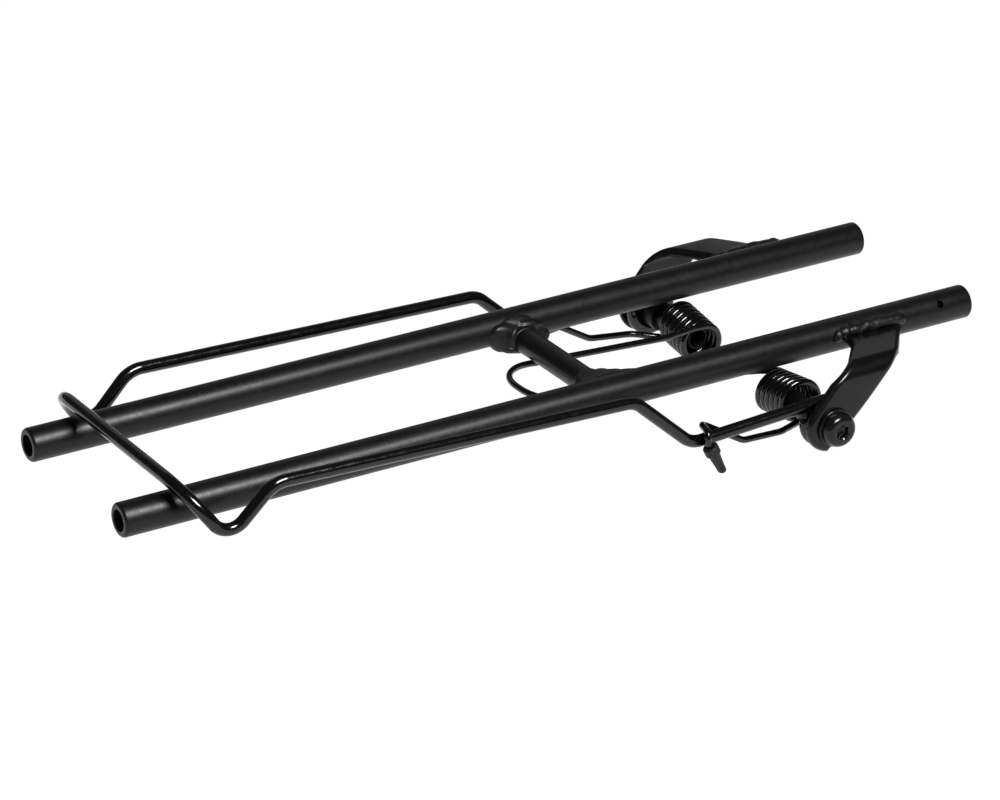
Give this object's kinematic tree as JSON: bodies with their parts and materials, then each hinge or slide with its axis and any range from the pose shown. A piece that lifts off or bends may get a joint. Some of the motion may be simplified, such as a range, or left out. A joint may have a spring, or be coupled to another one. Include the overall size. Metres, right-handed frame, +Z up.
{
  "type": "luggage rack clamp platform",
  "caption": "Flat luggage rack platform: parallel tube rails, a welded crossbar, and a sprung wire bail that folds up on bracket hinges and clamps down on the load.",
  "frame": {"origin": "middle of the bounding box in X and Y, at its lowest point in Z, which is the underside of the bail's two eyes", "axes": "+X along the rails towards the hinge brackets, +Y across the rails towards the rear rail, +Z up, the side the bail's cross wire rests on"},
  "size_m": [0.45, 0.185, 0.0571],
  "materials": {
    "black_powder_coat": "satin black powder coat with a fine texture",
    "black_plate_coat": "satin black coat, slightly glossier than the tubes",
    "gloss_black_wire": "gloss black",
    "black_oxide_steel": "glossy black oxide",
    "dark_steel": "dull dark steel",
    "black_nylon": "matt black nylon",
    "cap_plastic": "matt dark grey plastic"
  },
  "bodies": {
    "frame": {"rail_front": "black_powder_coat", "rail_rear": "black_powder_coat", "crossbar": "black_powder_coat", "crossbar_weld_front": "black_powder_coat", "crossbar_weld_rear": "black_powder_coat", "hinge_bracket_front": "black_plate_coat", "hinge_bracket_rear": "black_plate_coat", "bracket_weld_front": "black_powder_coat", "bracket_weld_rear": "black_powder_coat", "pivot_bolt_front": "black_oxide_steel", "pivot_bolt_rear": "black_oxide_steel", "washer_front": "black_oxide_steel", "washer_rear": "black_oxide_steel", "pivot_bush_front": "black_nylon", "pivot_bush_rear": "black_nylon", "spring_sleeve_front": "dark_steel", "spring_sleeve_rear": "dark_steel", "torsion_spring": "gloss_black_wire"},
    "bail": {"bail_wire": "gloss_black_wire", "spring_cap_front": "cap_plastic", "spring_cap_rear": "cap_plastic"}
  },
  "joints": [
    {"name": "bail_hinge", "type": "hinge", "parent": "frame", "child": "bail", "pos_m": [0.125, 0, 0.0129], "axis": [0, 1, 0], "range_deg": [0, 78], "stiffness_Nm_per_rad": 4, "springref_deg": -45.84, "deforming": ["torsion_spring"]}
  ]
}
